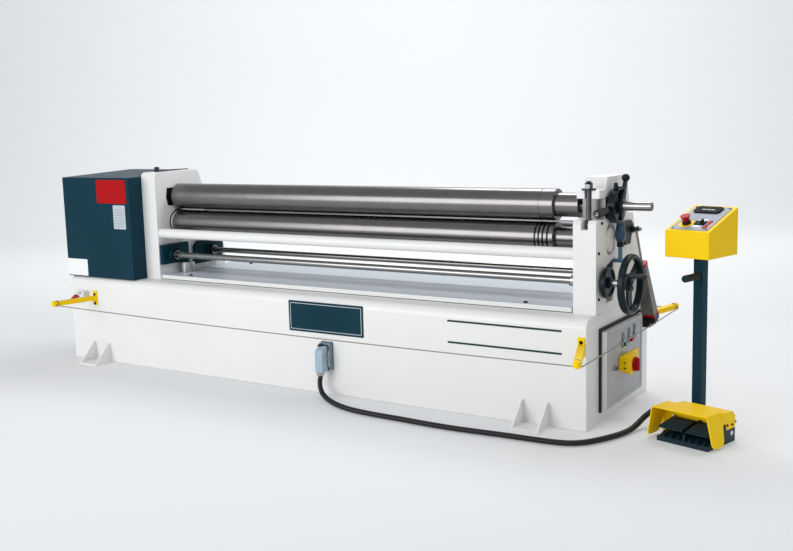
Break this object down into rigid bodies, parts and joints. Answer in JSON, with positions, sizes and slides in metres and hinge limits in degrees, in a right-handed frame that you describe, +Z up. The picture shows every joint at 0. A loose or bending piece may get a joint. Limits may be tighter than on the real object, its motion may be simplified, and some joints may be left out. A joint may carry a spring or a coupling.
{
  "type": "plate rolling machine",
  "caption": "Motor-driven plate rolling machine with steel rolls in a white and teal frame, a drop end at the right, a pull-wire guard, a yellow console and a foot switch",
  "frame": {"origin": "centre of the base's underside, on the floor", "axes": "X along the rolls towards the hand wheel and console, Y from the operator's side to the back, Z up"},
  "size_m": [3.4597, 1.273, 1.011],
  "materials": {
    "white_paint": "semi-gloss white enamel on welded steel",
    "grey_paint": "light grey powder coat",
    "teal_paint": "dark teal enamel",
    "black_paint": "blackened or black painted steel",
    "black_rubber": "matt black rubber",
    "black_plastic": "moulded black plastic",
    "bare_steel": "ground and turned steel",
    "bronze": "turned bearing bronze",
    "blue_paint": "blue enamel",
    "grey_alloy": "anodised extrusion",
    "red_paint": "red enamel",
    "yellow_paint": "yellow powder coat",
    "green_plastic": "gloss green moulding",
    "red_plastic": "gloss red moulding",
    "wire_jacket": "plastic-covered steel wire"
  },
  "bodies": {
    "machine": {"base": "white_paint", "bed_plate": "white_paint", "foot_brackets": "white_paint", "gear_housing": "teal_paint", "left_side_frame": "white_paint", "right_side_frame": "white_paint", "front_tie_bar": "white_paint", "gear_plates": "teal_paint", "jack_post": "bare_steel", "frame_stud": "bare_steel", "rear_roll": "bare_steel", "shaft_bushes": "bronze", "drop_end_yoke": "white_paint", "top_bearing": "bare_steel", "hub_drum": "black_paint", "hub_lever": "black_paint", "link_arm": "black_paint", "release_handle": "blue_paint", "yoke_crank": "black_paint", "cylinder_rod": "bare_steel", "cylinder_barrel": "grey_alloy", "cylinder_caps": "red_paint", "cylinder_bracket": "black_paint", "door_seal": "black_rubber", "cabinet_door": "grey_paint", "door_fittings": "grey_paint", "main_switch_box": "yellow_paint", "wire_arms": "yellow_paint", "pull_wire": "wire_jacket", "pull_switch": "red_paint", "connector_housing": "grey_paint", "connector_hood": "grey_paint", "conduit": "black_rubber", "console_column": "teal_paint", "console_box": "yellow_paint", "console_panel": "bare_steel", "foot_switch_base": "black_plastic", "foot_switch_hood": "yellow_paint"},
    "top_roll": {"top_roll": "bare_steel"},
    "lower_carriage": {"lower_bearings": "white_paint"},
    "lower_roll": {"lower_roll": "bare_steel"},
    "front_shaft": {"front_shaft": "bare_steel", "dial_wheel": "teal_paint", "hand_wheel": "teal_paint"},
    "crank_grip": {"crank_grip": "black_plastic"},
    "rear_shaft": {"rear_shaft": "bare_steel"},
    "swing_bolt": {"swing_bolt": "bare_steel"},
    "main_switch_knob": {"main_switch_knob": "red_plastic"},
    "emergency_stop": {"emergency_stop": "red_plastic"},
    "selector": {"selector": "black_plastic"},
    "start_button": {"start_button": "green_plastic"},
    "stop_button": {"stop_button": "red_plastic"},
    "pedal_left": {"pedal_left": "black_plastic"},
    "pedal_right": {"pedal_right": "black_plastic"}
  },
  "joints": [
    {"name": "top_roll_spin", "type": "hinge", "parent": "machine", "child": "top_roll", "pos_m": [0, -0.095, 0.857], "axis": [1, 0, 0], "continuous": true},
    {"name": "lower_roll_lift", "type": "slide", "parent": "machine", "child": "lower_carriage", "axis": [0, 0, 1], "range_m": [-0.015, 0]},
    {"name": "lower_roll_spin", "type": "hinge", "parent": "lower_carriage", "child": "lower_roll", "pos_m": [0, -0.095, 0.722], "axis": [1, 0, 0], "continuous": true},
    {"name": "front_shaft_spin", "type": "hinge", "parent": "machine", "child": "front_shaft", "pos_m": [0, -0.172, 0.561], "axis": [1, 0, 0], "range_deg": [-1800, 0]},
    {"name": "crank_grip_spin", "type": "hinge", "parent": "front_shaft", "child": "crank_grip", "pos_m": [1.6, -0.26029, 0.60795], "axis": [1, 0, 0], "continuous": true},
    {"name": "rear_shaft_spin", "type": "hinge", "parent": "machine", "child": "rear_shaft", "pos_m": [0, 0.108, 0.555], "axis": [1, 0, 0], "continuous": true},
    {"name": "swing_bolt_swing", "type": "hinge", "parent": "machine", "child": "swing_bolt", "pos_m": [1.4105, -0.204, 0.788], "axis": [1, 0, 0], "range_deg": [0, 90]},
    {"name": "main_switch_turn", "type": "hinge", "parent": "machine", "child": "main_switch_knob", "pos_m": [1.56, -0.022, 0.208], "axis": [1, 0, 0], "range_deg": [0, 90]},
    {"name": "emergency_stop_press", "type": "slide", "parent": "machine", "child": "emergency_stop", "axis": [0.0925, 0.3453, -0.9339], "range_m": [0, 0.005]},
    {"name": "selector_turn", "type": "hinge", "parent": "machine", "child": "selector", "pos_m": [1.81799, -0.09623, 0.8025], "axis": [-0.0925, -0.3453, 0.9339], "range_deg": [-45, 45]},
    {"name": "start_press", "type": "slide", "parent": "machine", "child": "start_button", "axis": [-1, 0, 0], "range_m": [0, 0.004], "stiffness_N_per_m": 400, "springref_m": -0.004},
    {"name": "stop_press", "type": "slide", "parent": "machine", "child": "stop_button", "axis": [-1, 0, 0], "range_m": [0, 0.004], "stiffness_N_per_m": 400, "springref_m": -0.004},
    {"name": "pedal_left_press", "type": "hinge", "parent": "machine", "child": "pedal_left", "pos_m": [1.80502, -0.22039, 0.061], "axis": [0.9664, -0.2571, 0], "range_deg": [0, 8], "stiffness_Nm_per_rad": 2, "springref_deg": -22.92},
    {"name": "pedal_right_press", "type": "hinge", "parent": "machine", "child": "pedal_right", "pos_m": [1.90939, -0.24816, 0.061], "axis": [0.9664, -0.2571, 0], "range_deg": [0, 8], "stiffness_Nm_per_rad": 2, "springref_deg": -22.92}
  ],
  "couplings": [
    {"joint": "lower_roll_spin", "follows": "top_roll_spin", "ratio": -1},
    {"joint": "front_shaft_spin", "follows": "lower_roll_lift", "rad_per_m": 2094.4}
  ]
}
